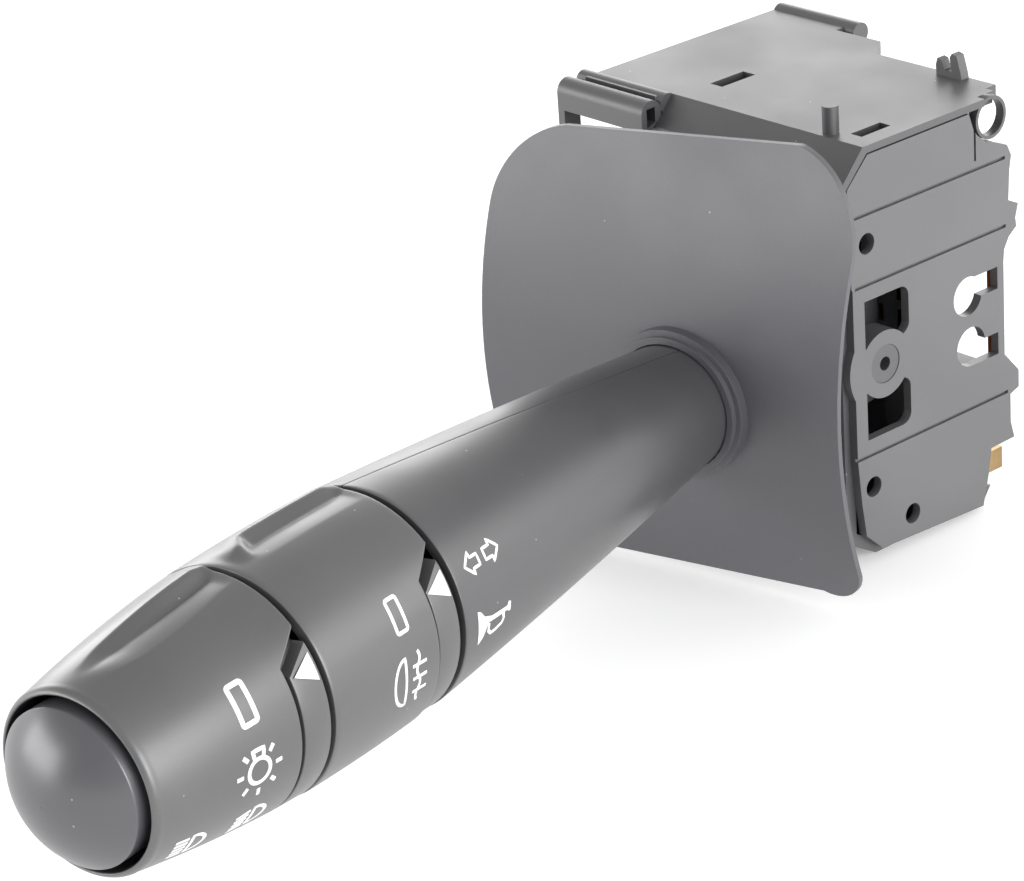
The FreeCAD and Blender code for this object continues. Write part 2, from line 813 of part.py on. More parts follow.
def detent_plunger():
    piece = Piece("detent_plunger", on_lever=True)
    radius = d.plunger_radius
    reach = d.plunger_reach
    piece.turn([(0.0, -reach), (radius * 0.5, 0.3 - reach), (radius, radius - reach),
                (radius, -8.5), (0.0, -8.5)])
    return piece


def coil(label, radius, wire, low, high, turns):
    """Coil spring of square wire round the lever's axis."""
    piece = Piece(label, on_lever=True)
    low = size(low)
    sketch = piece.sketch(
        "XZ", 0.0, [rectangle(radius - wire, low, radius + wire, low + 2.0 * wire)]
    )
    helix = piece.body.newObject("PartDesign::AdditiveHelix", f"{label}_helix")
    helix.Profile = sketch
    helix.ReferenceAxis = (sketch, ["V_Axis"])
    helix.Mode = "pitch-height-angle"
    height = size(high) - low - 2.0 * size(wire)
    helix.Height = height.value
    bind(helix, "Height", height)
    pitch = height / turns
    helix.Pitch = pitch.value
    bind(helix, "Pitch", pitch)
    return piece


def sleeve_half(label, side):
    """One half of the lever's sleeve; its neck sits on the core and its bore is stepped."""
    piece = Piece(label, on_lever=True)
    wall = d.skin_wall
    hub = bore_on_core
    start = plate_station + 0.05
    end = sleeve_end
    inner = d.grip_radius - wall
    bore = d.sleeve_bore_radius
    shoulder = end - 13.0
    seat = start + 16.0
    outline = [
        (d.neck_radius, start), (d.neck_radius, d.neck_reach),
        (d.sleeve_mid_radius, d.neck_reach + d.sleeve_length * 0.48), (d.grip_radius, end),
        (inner, end), (inner, shoulder), (bore, shoulder), (bore, seat), (hub, seat), (hub, start),
    ]
    sided = [(r if side > 0 else -size(r), station) for r, station in outline]
    piece.turn(sided, span=HALF_TURN)
    return piece


def shield_plate():
    """Thin curved shield with the stepped collar that takes the sleeve's neck."""
    piece = Piece("shield_plate", on_lever=True)
    outer = plate_station
    middle = d.shield_bend_height
    bend = d.shield_bend
    right = d.shield_right
    left_edge = -d.shield_left
    high = d.shield_up
    low = -d.shield_down

    def face(y, inset):
        rise = size(y) - middle
        radius = bend - inset
        drop = math.sqrt(radius.value ** 2 - rise.value ** 2)
        text = f"sqrt(pow({radius.text}; 2) - pow({rise.text}; 2))"
        return (size(y), outer - bend + Size(drop, text))

    piece.pad(
        "XY", outer - 14.0, outer,
        [(left_edge + 4.4, low), (right - 8.3, low + 2.6), Via(right - 3.5, low + 3.4),
         (right - 1.8, low + 6.6), Via(right - 2.0, low + 23.0), (right, high - 13.0),
         Via(right - 2.9, high - 4.3), (right - 9.6, high), (left_edge + 13.1, high - 2.6),
         Via(left_edge + 5.5, high - 6.6), (left_edge + 1.6, high - 14.6),
         Via(left_edge, high - 32.0), (left_edge + 1.6, low + 3.2),
         Via(left_edge + 2.3, low + 0.9)],
    )
    below = low - 1.0
    above = high + 1.0
    for inset, level in ((size(0.0), outer + 1.0), (d.shield_thick, outer - 15.0)):
        piece.pocket(
            "YZ", left_edge - 1.0, right + 1.0,
            [face(below, inset), Via(*face(middle, inset)), face(above, inset), (above, level),
             (below, level)],
        )
    neck = d.neck_radius + d.collar_clearance
    ring = d.collar_radius
    step = ring - 0.8
    rise = d.collar_height
    piece.turn(
        [(neck, outer - 1.6), (ring, outer - 1.6), (ring, outer + rise * 0.64),
         (step, outer + rise * 0.64), (step, outer + rise), (neck, outer + rise)],
    )
    piece.pocket("XY", outer - 3.0, outer, Disc(0.0, 0.0, bore_on_core))
    return piece


def pointer_ring(label, start):
    """Fixed ring between two grips; its band fills the part that the grip leaves open."""
    piece = Piece(label, on_lever=True)
    rim = floor_radius
    flange = start + d.skin_wall
    piece.turn([(bore_on_core, start), (rim, start), (rim, flange), (bore_on_core, flange)])
    band = d.grip_radius - d.band_recess
    end = start + d.band_length
    piece.turn([(rim - 0.3, start), (band, start), (band, end), (rim - 0.3, end)],
               span=d.band_span, middle=d.band_middle)
    return piece


def grip_lobe(piece, start, end, tip_start, tip_end, width_start, width_end):
    """Raised finger rib on top of a grip, lofted between two cross sections."""
    sections = []
    for station, (low, high), width in ((start, tip_start, width_start), (end, tip_end, width_end)):
        crest = width * 0.55
        sections.append(piece.sketch(
            "XY", station,
            [[(-width, low), (width, low), (crest, high), (-crest, high)]],
        ))
    loft = piece.body.newObject("PartDesign::AdditiveLoft", f"{piece.label}_lobe")
    loft.Profile = sections[0]
    loft.Sections = sections[1:]
    loft.Ruled = True
    return loft


def fog_ring():
    piece = Piece("fog_ring", on_lever=True)
    start = fog_band_end + d.ring_gap
    end = fog_ring_end
    web = start + 9.4
    outer = d.grip_radius + d.ring_swell
    inner = d.grip_radius - d.skin_wall
    hub = bore_on_core
    piece.turn([(outer, start), (outer, end), (inner, end), (inner, web + 2.0), (hub, web + 2.0),
                (hub, web), (inner, web), (inner, start)])
    tongue_inner = floor_radius + 0.3
    tongue = fog_band_start + 0.1
    piece.turn([(tongue_inner, tongue), (outer, tongue), (outer, start + 0.5),
                (tongue_inner, start + 0.5)], span=d.fog_tongue_span, middle=d.fog_tongue_middle)
    base = outer - 1.0
    grip_lobe(piece, fog_band_start + 0.2, end - 2.5, (base, outer + d.lobe_height),
              (base, outer + 0.9), d.lobe_half_width, d.lobe_half_width - 0.6)
    return piece


def light_knob():
    piece = Piece("light_knob", on_lever=True)
    start = light_band_end + d.ring_gap
    end = knob_end
    outer = d.grip_radius - 0.25
    hub = bore_on_core
    web = start + 7.0
    mouth = d.button_radius + d.button_gap
    inner = outer - d.skin_wall - 0.9
    piece.turn([(outer, start), (d.knob_mid_radius, start + 8.5), (d.knob_tip_radius, end),
                (mouth, end), (mouth, web + 2.2), (hub, web + 2.2), (hub, web), (inner, web),
                (inner, start)])
    tongue_inner = floor_radius + 0.3
    tongue = light_band_start + 0.1
    piece.turn([(tongue_inner, tongue), (outer, tongue), (outer, start), (outer - 0.1, start + 0.6),
                (tongue_inner - 0.4, start + 0.6), (tongue_inner - 0.4, start),
                (tongue_inner, start)], span=d.light_tongue_span, middle=d.light_tongue_middle)
    grip_lobe(piece, tongue + 0.1, end - 5.0, (outer - 1.1, outer + d.lobe_height + 0.2),
              (mouth + 0.1, d.knob_tip_radius + 1.1), d.lobe_half_width, size(1.2))
    return piece


def contact_disc(label, station):
    """Insulating plate on the core, with the tracks that a ring's wiper runs over."""
    piece = Piece(label, on_lever=True)
    half = d.disc_half_width
    piece.pad("XY", station, station + 1.2, rectangle(-half, -half, half, half),
              Disc(0.0, 0.0, bore_on_core))
    return piece


def ring_wiper(label, low, high):
    """Brass frame with three fingers that reach the contact plate."""
    piece = Piece(label, on_lever=True)
    high = size(high)
    outer = d.disc_half_width - 0.1
    middle = outer - d.wiper_width / 2
    inner = outer - d.wiper_width
    piece.pad("XY", high - 0.3, high, rectangle(-outer, -outer, outer, outer),
              rectangle(-inner, -inner, inner, inner))
    half = d.wiper_width / 2 - 0.1
    for x, y in ((middle, 0.0), (-middle, 0.0), (0.0, -middle)):
        piece.pad("XY", low, high - 0.2, rectangle(x - half, y - half, x + half, y + half))
    return piece


def horn_contact_base():
    piece = Piece("horn_contact_base", on_lever=True)
    post = d.post_radius
    start = core_end
    piece.turn([(0.0, start), (post, start), (post, start + 6.8), (post - 1.2, start + 6.8),
                (post - 1.2, start + 1.5), (2.4, start + 1.5), (2.4, start + 5.0),
                (0.0, start + 5.0)])
    return piece


def horn_contacts():
    """Two fixed contact blades on the base, under the bridge."""
    piece = Piece("horn_contacts", on_lever=True)
    return contact_pads(piece, core_end + 1.5, core_end + 1.8)


def contact_pads(piece, low, high):
    """Two pads that stand under the sides of the bridge."""
    outer = d.bridge_half_width - 0.05
    inner = d.bridge_half_width - d.bridge_width
    for side in (-1, 1):
        near, far = sorted((side * inner, side * outer), key=lambda edge: edge.value)
        piece.pad("XY", low, high, rectangle(near, -1.5, far, 1.5))
    return piece


def horn_button():
    """Domed cap that slides on the contact base's skirt."""
    piece = Piece("horn_button", on_lever=True)
    radius = d.button_radius
    rim = knob_end + 1.0
    rise = d.button_crown
    crown = rim + rise
    skirt = core_end + 4.5
    inner = d.post_radius + d.running_gap
    under = rim - 0.4
    piece.turn([(0.0, crown), (radius * 0.68, crown - rise * 0.34), (radius, rim), (radius, skirt),
                (inner, skirt), (inner, under), (0.0, under)])
    return contact_pads(piece, core_end + 4.75, under + 0.5)


def horn_bridge():
    """Brass frame under the button that closes the horn contacts."""
    piece = Piece("horn_bridge", on_lever=True)
    high = core_end + 4.75
    outer = d.bridge_half_width
    inner = outer - d.bridge_width
    piece.pad("XY", high - 0.3, high, rectangle(-outer, -outer, outer, outer),
              rectangle(-inner, -inner, inner, inner))
    return piece


def cancel_pawl():
    """Striker that the steering column's cam tips to bring the lever back to the middle."""
    piece = Piece("cancel_pawl")
    x = pawl_x()
    half = d.pawl_thick / 2
    y = d.rear_wall_front + d.rear_wall + 1.6
    piece.pad("YZ", x - half, x + half, Disc(y, pivot_z, 2.4))
    piece.pad(
        "YZ", x - half, x + half,
        [(y - 3.6, pivot_z - 1.2), (y, pivot_z - 2.2), (y + d.pawl_reach, pivot_z - 0.7),
         (y + d.pawl_reach, pivot_z + 0.7), (y, pivot_z + 2.2), (y - 3.6, pivot_z + 1.2)],
    )
    piece.pocket("YZ", x - half, x + half, Disc(y, pivot_z, d.pawl_pin_radius + d.running_gap))
    return piece


def pawl_pin():
    piece = Piece("pawl_pin")
    x = pawl_x()
    half = d.pawl_thick / 2 + 1.5
    y = d.rear_wall_front + d.rear_wall + 1.6
    piece.pad("YZ", x - half, x + half, Disc(y, pivot_z, d.pawl_pin_radius))
    return piece


main_housing()
side_cover()
rear_carrier()
connector_pins()
contact_rail()
earth_tab()
detent_track()
contact_plate()
contact_tracks()
pawl_pin()
cancel_pawl()
indicator_slide()
indicator_wipers()
yoke()
lever_pin()
lever_core()
detent_plunger()
coil("plunger_spring", 1.5, 0.3, -7.4, -3.2, 2)
shield_plate()
sleeve_half("sleeve_front_half", 1)
sleeve_half("sleeve_rear_half", -1)
pointer_ring("fog_pointer_ring", fog_band_start)
pointer_ring("light_pointer_ring", light_band_start)
fog_ring()
light_knob()
fog_web = fog_band_end + d.ring_gap + 9.4
light_web = light_band_end + d.ring_gap + 7.0
contact_disc("fog_contact_disc", fog_web - 6.4)
ring_wiper("fog_wiper", fog_web - 5.1, fog_web)
contact_disc("light_contact_disc", light_web - 4.4)
ring_wiper("light_wiper", light_web - 3.1, light_web)
horn_contact_base()
horn_contacts()
coil("horn_spring", 3.2, 0.35, core_end + 1.5, core_end + 9.3, 2)
horn_button()
horn_bridge()

doc.recompute()

for thing in doc.Objects:
    if "Invalid" in thing.State or "Error" in thing.State:
        raise RuntimeError(f"{thing.Label} failed: {thing.State}")
for piece in pieces:
    if piece.Shape.isNull() or not piece.Shape.isValid():
        raise RuntimeError(f"{piece.Label} has no valid shape")

os.makedirs("parts", exist_ok=True)
for piece in pieces:
    piece.Shape.exportStep(os.path.join("parts", f"{piece.Label}.step"))
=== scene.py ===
import math

import bmesh
import bpy
from mathutils import Matrix, Vector


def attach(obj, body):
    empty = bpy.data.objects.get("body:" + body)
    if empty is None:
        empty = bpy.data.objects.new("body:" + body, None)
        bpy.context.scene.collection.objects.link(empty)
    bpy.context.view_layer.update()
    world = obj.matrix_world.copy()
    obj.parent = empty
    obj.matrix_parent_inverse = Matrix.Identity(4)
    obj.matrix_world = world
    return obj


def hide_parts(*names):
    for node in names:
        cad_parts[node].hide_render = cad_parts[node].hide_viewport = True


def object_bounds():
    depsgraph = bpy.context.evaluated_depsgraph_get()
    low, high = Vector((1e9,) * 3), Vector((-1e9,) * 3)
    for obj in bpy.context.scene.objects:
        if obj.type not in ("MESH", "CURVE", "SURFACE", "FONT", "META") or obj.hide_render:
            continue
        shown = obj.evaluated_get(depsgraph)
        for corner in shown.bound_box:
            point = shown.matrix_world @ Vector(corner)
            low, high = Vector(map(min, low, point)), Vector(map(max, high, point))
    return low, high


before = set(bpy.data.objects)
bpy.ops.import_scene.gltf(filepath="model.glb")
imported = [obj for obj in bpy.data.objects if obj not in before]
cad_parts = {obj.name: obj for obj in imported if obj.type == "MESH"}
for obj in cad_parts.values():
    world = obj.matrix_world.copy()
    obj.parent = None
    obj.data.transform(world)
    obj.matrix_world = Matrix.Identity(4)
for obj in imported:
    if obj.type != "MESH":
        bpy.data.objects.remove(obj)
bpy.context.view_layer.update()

# --- Housing -------------------------------------------------------------------------
# One moulding in black glass-filled polyamide: roof, front, left wall and floor, with a
# flange that carries the roof past the left wall. Ejected from a spark-eroded tool, so its
# faces are finely grained and its edges slightly rounded.
MM = 0.001
POLYMER_IOR = 1.53
POLYMER_SHEEN = 1.0
DUST_COLOUR = "#c9c9cc"
WELD_DISTANCE = 2e-6
# Angles between faces, in degrees: flat faces, rounded edges, edges that shade sharp.
FLAT_ANGLE, ROUNDED_ANGLE, SHARP_ANGLE = 1.0, 28, 40


def linear(hex_colour):
    """An sRGB hex colour as the linear colour that the shader works in."""
    parts = [int(hex_colour[i:i + 2], 16) / 255 for i in (1, 3, 5)]
    return tuple(
        (c / 12.92 if c <= 0.04045 else ((c + 0.055) / 1.055) ** 2.4) for c in parts
    ) + (1.0,)


def add_node(material, kind, settings=None, **inputs):
    """One shader node; an input given as a socket is linked, and as a value is set."""
    tree = material.node_tree
    made = tree.nodes.new(kind)
    for name, value in (settings or {}).items():
        setattr(made, name, value)
    for name, value in inputs.items():
        socket = made.inputs[int(name[1:])] if name[1:].isdigit() else made.inputs[
            name.replace("_", " ")]
        if isinstance(value, bpy.types.NodeSocket):
            tree.links.new(value, socket)
        else:
            socket.default_value = value
    return made


def blank_material(name):
    """A material with only its output and its principled shader."""
    material = bpy.data.materials.new(name)
    material.use_nodes = True
    return material, material.node_tree.nodes["Principled BSDF"]


def moulded_plastic(
    name, colour, grain=0.3, depth=0.03, roughness=0.45, mottle=0.06, scuff=0.5,
):
    """Moulded polymer: tool grain as bump, faint flow mottle, fine handling scuffs."""
    material, shader = blank_material(name)
    where = add_node(material, "ShaderNodeTexCoord").outputs["Object"]
    flow = add_node(material, "ShaderNodeTexNoise", Vector=where, Scale=55.0, Detail=4.0)
    pores = add_node(material, "ShaderNodeTexNoise", Vector=where, Scale=1000 / grain, Detail=2.0)
    specks = add_node(
        material, "ShaderNodeTexVoronoi", {"feature": "DISTANCE_TO_EDGE"}, Vector=where,
        Scale=1000 / (grain * 1.6),
    )
    base = linear(colour)
    pale = tuple(min(1.0, c * (1 + mottle)) for c in base[:3]) + (1.0,)
    deep = tuple(c * (1 - mottle) for c in base[:3]) + (1.0,)
    tone = add_node(material, "ShaderNodeValToRGB", Fac=flow.outputs["Fac"])
    tone.color_ramp.elements[0].position = 0.35
    tone.color_ramp.elements[0].color = deep
    tone.color_ramp.elements[1].position = 0.65
    tone.color_ramp.elements[1].color = pale
    # Grain catches the light as slightly paler points.
    speck_mask = add_node(
        material, "ShaderNodeMapRange", Value=pores.outputs["Fac"], From_Min=0.50, From_Max=0.75,
        To_Min=0.0, To_Max=0.30,
    )
    lighter = tuple(min(1.0, c * 1.35) for c in base[:3]) + (1.0,)
    tint = add_node(
        material, "ShaderNodeMix", {"data_type": "RGBA"}, _0=speck_mask.outputs["Result"],
        _6=tone.outputs["Color"], _7=lighter,
    )
    # Sparse dust and handling marks, a few tenths of a millimetre wide.
    dust_cells = add_node(material, "ShaderNodeTexVoronoi", Vector=where, Scale=300.0)
    dust = add_node(
        material, "ShaderNodeMapRange", Value=dust_cells.outputs["Distance"], From_Min=0.045,
        From_Max=0.030, To_Min=0.0, To_Max=scuff,
    )
    dust_gate = add_node(
        material, "ShaderNodeMapRange", Value=dust_cells.outputs["Color"], From_Min=0.52,
        From_Max=0.60, To_Min=0.0, To_Max=1.0,
    )
    dusty = add_node(
        material, "ShaderNodeMath", {"operation": "MULTIPLY"}, _0=dust.outputs["Result"],
        _1=dust_gate.outputs["Result"],
    )
    final = add_node(
        material, "ShaderNodeMix", {"data_type": "RGBA"}, _0=dusty.outputs[0],
        _6=tint.outputs[2], _7=linear(DUST_COLOUR),
    )
    material.node_tree.links.new(final.outputs[2], shader.inputs["Base Color"])
    wear = add_node(
        material, "ShaderNodeMapRange", Value=flow.outputs["Fac"], From_Min=0.3, From_Max=0.7,
        To_Min=roughness - 0.05, To_Max=roughness + 0.06,
    )
    material.node_tree.links.new(wear.outputs["Result"], shader.inputs["Roughness"])
    relief = add_node(
        material, "ShaderNodeMath", {"operation": "MULTIPLY"}, _0=pores.outputs["Fac"],
        _1=specks.outputs["Distance"],
    )
    bump = add_node(
        material, "ShaderNodeBump", Strength=0.35, Distance=depth * MM, Height=relief.outputs[0],
    )
    material.node_tree.links.new(bump.outputs["Normal"], shader.inputs["Normal"])
    shader.inputs["IOR"].default_value = POLYMER_IOR
    shader.inputs["Specular IOR Level"].default_value = POLYMER_SHEEN
    return material


def evened(mesh):
    """The mesh with corner normals weighted by face area, so that flat faces shade flat."""
    holder = bpy.data.objects.new("evened", mesh)
    bpy.context.scene.collection.objects.link(holder)
    weighted = holder.modifiers.new("weighted", "WEIGHTED_NORMAL")
    weighted.keep_sharp = True
    graph = bpy.context.evaluated_depsgraph_get()
    result = bpy.data.meshes.new_from_object(holder.evaluated_get(graph), depsgraph=graph)
    bpy.data.objects.remove(holder)
    bpy.data.meshes.remove(mesh)
    return result


def finish_piece(mesh, name, material, body, slot, *nodes, even=False):
    """A finished piece in the scene: smooth faces, sharp corners, its material and its body."""
    for polygon in mesh.polygons:
        polygon.use_smooth = True
    mesh.set_sharp_from_angle(angle=math.radians(SHARP_ANGLE))
    if even:
        mesh = evened(mesh)
        mesh.name = name
    mesh.materials.clear()
    mesh.materials.append(material)
    piece = bpy.data.objects.new(name, mesh)
    bpy.context.scene.collection.objects.link(piece)
    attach(piece, body)
    if nodes:
        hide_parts(*nodes)
    return piece


def softened(node, radius, segments=2, adjust=None):
    """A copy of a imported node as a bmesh, its flat faces whole again and its edges rounded."""
    shape = bmesh.new()
    shape.from_mesh(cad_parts[node].data)
    bmesh.ops.remove_doubles(shape, verts=shape.verts, dist=WELD_DISTANCE)
    if adjust:
        for vert in shape.verts:
            adjust(vert.co)
    bmesh.ops.dissolve_limit(
        shape, angle_limit=math.radians(FLAT_ANGLE), use_dissolve_boundaries=False,
        verts=shape.verts, edges=shape.edges,
    )
    corners = [
        e for e in shape.edges
        if len(e.link_faces) == 2
        and e.calc_face_angle(0.0) > math.radians(ROUNDED_ANGLE)
    ]
    bmesh.ops.bevel(
        shape, geom=corners, offset=radius * MM, offset_type="OFFSET", segments=segments,
        profile=0.5, affect="EDGES", clamp_overlap=True, material=-1,
    )
    return shape


def to_mesh(shape, name):
    """The bmesh as a named mesh; the bmesh is freed."""
    mesh = bpy.data.meshes.new(name)
    shape.to_mesh(mesh)
    shape.free()
    return mesh


housing_finish = moulded_plastic("black_polyamide_eroded", "#464648", grain=0.22, roughness=0.42)


LIP_KEPT = 0.4


def shorter_lip(point):
    """The flange's lip ends higher than in the CAD, so that light shows past the shield."""
    lip_top = 28.4 * MM
    if point.x < -36.0 * MM and point.y < -2.7 * MM and 25.5 * MM < point.z < lip_top:
        point.z = lip_top - LIP_KEPT * (lip_top - point.z)


finish_piece(
    to_mesh(softened("main_housing", 0.22, adjust=shorter_lip), "housing_moulding"),
    "housing_moulding", housing_finish, "housing", "housing_plastic", "main_housing", even=True,
)

# --- Side cover ----------------------------------------------------------------------
# The flat cover on the driver's side, moulded in the same polyamide and clipped on. It
# carries the bearing boss, and has windows, fixing holes and latch holes through it.
cover_finish = moulded_plastic("black_polyamide_cover", "#5a5a5c", grain=0.22, roughness=0.40)
finish_piece(
    to_mesh(softened("side_cover", 0.16), "bearing_cover"), "bearing_cover",
    cover_finish, "housing", "cover_plastic", "side_cover", even=True,
)

# --- Rear carrier, insulators and contacts -------------------------------------------
# The back wall with the plug socket, and the resin plates inside that carry the tracks.
# Strips, blades and the earth tab are pressed from brass and copper sheet.
carrier_finish = moulded_plastic("grey_polyamide_carrier", "#8a8a8c", grain=0.25, roughness=0.5)
finish_piece(
    to_mesh(softened("rear_carrier", 0.16), "plug_carrier"), "plug_carrier",
    carrier_finish, "housing", "carrier_plastic", "rear_carrier", even=True,
)


def pressed_metal(name, colour, roughness, grain, tarnished=0.62):
    """Rolled sheet metal: faint rolling lines along one direction and a light tarnish."""
    material, shader = blank_material(name)
    where = add_node(material, "ShaderNodeTexCoord").outputs["Object"]
    drawn = add_node(
        material, "ShaderNodeMapping", {"vector_type": "POINT"}, Vector=where,
        Scale=(1.0, 1.0, 0.08),
    )
    lines = add_node(
        material, "ShaderNodeTexNoise", Vector=drawn.outputs["Vector"], Scale=1000 / grain,
        Detail=3.0,
    )
    tarnish = add_node(material, "ShaderNodeTexNoise", Vector=where, Scale=220.0, Detail=3.0)
    base = linear(colour)
    dull = tuple(c * tarnished for c in base[:3]) + (1.0,)
    tone = add_node(
        material, "ShaderNodeMix", {"data_type": "RGBA"}, _0=tarnish.outputs["Fac"],
        _6=base, _7=dull,
    )
    material.node_tree.links.new(tone.outputs[2], shader.inputs["Base Color"])
    polish = add_node(
        material, "ShaderNodeMapRange", Value=lines.outputs["Fac"], To_Min=roughness - 0.08,
        To_Max=roughness + 0.12,
    )
    material.node_tree.links.new(polish.outputs["Result"], shader.inputs["Roughness"])
    bump = add_node(
        material, "ShaderNodeBump", Strength=0.25, Distance=0.01 * MM,
        Height=lines.outputs["Fac"],
    )
    material.node_tree.links.new(bump.outputs["Normal"], shader.inputs["Normal"])
    shader.inputs["Metallic"].default_value = 1.0
    return material


brass = pressed_metal("pressed_brass", "#d9b25f", 0.32, 0.12)
tab_brass = pressed_metal("tarnished_brass_tab", "#e2c08a", 0.28, 0.12, 0.12)
copper = pressed_metal("rolled_copper", "#a8603a", 0.38, 0.12)
steel = pressed_metal("ground_steel_pin", "#b4b4b2", 0.3, 0.1)
wire = pressed_metal("drawn_spring_wire", "#9b9b9c", 0.35, 0.1)
resin = moulded_plastic("filled_phenolic", "#6b5138", grain=0.2, roughness=0.55)
acetal = moulded_plastic("natural_acetal", "#cfcabb", grain=0.2, roughness=0.4, scuff=0.0)
dark_acetal = moulded_plastic("black_acetal", "#4a4a4c", grain=0.2, roughness=0.42)
for finish, names in (
    (tab_brass, ("earth_tab",)),
    (brass, ("connector_pins", "contact_tracks", "indicator_wipers", "fog_wiper",
             "light_wiper", "horn_contacts", "horn_bridge")),
    (copper, ("contact_rail",)),
    (steel, ("pawl_pin", "lever_pin")),
    (wire, ("plunger_spring", "horn_spring")),
    (resin, ("detent_track", "contact_plate", "fog_contact_disc", "light_contact_disc",
             "horn_contact_base")),
    (acetal, ("indicator_slide", "detent_plunger", "cancel_pawl")),
    (dark_acetal, ("yoke", "lever_core")),
):
    for name in names:
        node_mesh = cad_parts[name].data
        node_mesh.materials.clear()
        node_mesh.materials.append(finish)

# --- Shield and collar ---------------------------------------------------------------
# A thin curved shield in black polypropylene that closes the slot in the column shroud,
# with a stepped collar where the lever's neck goes in. Matte, with a coarser grain.
pivot = Vector((-18.2, 3.0, -0.5))
yaw = math.radians(11.6)
lever_place = Matrix.Translation(pivot * MM) @ Matrix((
    (math.cos(yaw), 0, math.sin(yaw), 0),
    (math.sin(yaw), 0, -math.cos(yaw), 0),
    (0, 1, 0, 0),
    (0, 0, 0, 1),
)) @ Matrix.Scale(MM, 4)
NECK = 29.7

shield_finish = moulded_plastic(
    "black_polypropylene_grained", "#4b4b50", grain=0.28, depth=0.05, roughness=0.47,
    mottle=0.08,
)
finish_piece(
    to_mesh(softened("shield_plate", 0.3, 3), "slot_shield"), "slot_shield",
    shield_finish, "stalk", "shield_plastic", "shield_plate", even=True,
)

# --- Lever sleeve --------------------------------------------------------------------
# Two half shells in black polyamide, clipped together round the core, swelling from the
# neck to the grips. Their parting line shows as a fine dark line along the top.
sleeve_finish = moulded_plastic(
    "black_polyamide_sleeve", "#444446", grain=0.2, depth=0.02, roughness=0.34,
)
STEPS = 256
GRIP_STEPS = 480
CORE_BORE = 5.25
# Corners of an outline that are straighter than this angle, in degrees, aren't rounded.
SMOOTH_CORNER = 150


def arc_points(first, middle, last, count):
    """Points along the arc through three points, both ends included."""
    (ax, ay), (bx, by), (cx, cy) = first, middle, last
    double = 2 * (ax * (by - cy) + bx * (cy - ay) + cx * (ay - by))
    a2, b2, c2 = ax * ax + ay * ay, bx * bx + by * by, cx * cx + cy * cy
    ux = (a2 * (by - cy) + b2 * (cy - ay) + c2 * (ay - by)) / double
    uy = (a2 * (cx - bx) + b2 * (ax - cx) + c2 * (bx - ax)) / double
    start = math.atan2(ay - uy, ax - ux)
    end = math.atan2(cy - uy, cx - ux)
    sweep = (end - start + math.pi) % (2 * math.pi) - math.pi
    radius = math.hypot(ax - ux, ay - uy)
    angles = [start + sweep * i / (count - 1) for i in range(count)]
    return [(ux + radius * math.cos(a), uy + radius * math.sin(a)) for a in angles]


def turned(outline, rounding=0.0, span=360.0, start=0.0, steps=STEPS):
    """A lathe-turned form about the lever's axis from a closed outline of radius and station."""
    shape = bmesh.new()
    corners = [shape.verts.new((0, r, s)) for r, s in outline]
    face = shape.faces.new(corners)
    if rounding:
        sharp = []
        for i, vert in enumerate(corners):
            before = (corners[i - 1].co - vert.co).normalized()
            after = (corners[(i + 1) % len(corners)].co - vert.co).normalized()
            if before.dot(after) > math.cos(math.radians(SMOOTH_CORNER)):
                sharp.append(vert)
        bmesh.ops.bevel(
            shape, geom=sharp, offset=rounding, offset_type="OFFSET", segments=3, profile=0.5,
            affect="VERTICES", clamp_overlap=True, material=-1,
        )
    whole = span >= 360.0
    bmesh.ops.rotate(
        shape, verts=shape.verts, cent=(0, 0, 0),
        matrix=Matrix.Rotation(-math.radians(start), 3, "Z"),
    )
    geometry = shape.edges[:] + shape.verts[:]
    if not whole:
        geometry = shape.faces[:] + geometry
    bmesh.ops.spin(
        shape, geom=geometry, cent=(0, 0, 0), axis=(0, 0, -1), angle=math.radians(span),
        steps=steps, use_merge=whole, use_duplicate=False,
    )
    if whole:
        flats = [f for f in shape.faces if len(f.verts) > 4]
        bmesh.ops.delete(shape, geom=flats, context="FACES_ONLY")
    bmesh.ops.remove_doubles(shape, verts=shape.verts, dist=1e-4)
    bmesh.ops.recalc_face_normals(shape, faces=shape.faces)
    return shape


def station_angle(point):
    """Station from the neck, angle from up towards the driver's side, and radius."""
    angle = math.degrees(math.atan2(point.x, point.y))
    return point.z - NECK, angle, math.hypot(point.x, point.y)


def turn_vert(vert, degrees):
    """Moves a vertex round the lever's axis towards the driver's side."""
    a = math.radians(degrees)
    x, y = vert.co.x, vert.co.y
    vert.co.x = x * math.cos(a) + y * math.sin(a)
    vert.co.y = y * math.cos(a) - x * math.sin(a)


def on_lever(shape, name):
    """The lever-space bmesh in its place on the object, as a named mesh."""
    bmesh.ops.transform(shape, matrix=lever_place, verts=shape.verts)
    return to_mesh(shape, name)


SLEEVE_END = 65.0
sleeve_outer = arc_points((8.9, NECK), (12.35, NECK + 33.0), (15.0, NECK + SLEEVE_END), 90)
sleeve_outline = [(8.9, NECK - 2.05)] + sleeve_outer + [
    (13.4, NECK + SLEEVE_END), (13.3, NECK + 62.0), (11.2, NECK + 33.0), (7.4, NECK + 2.0),
    (7.2, NECK - 2.05),
]
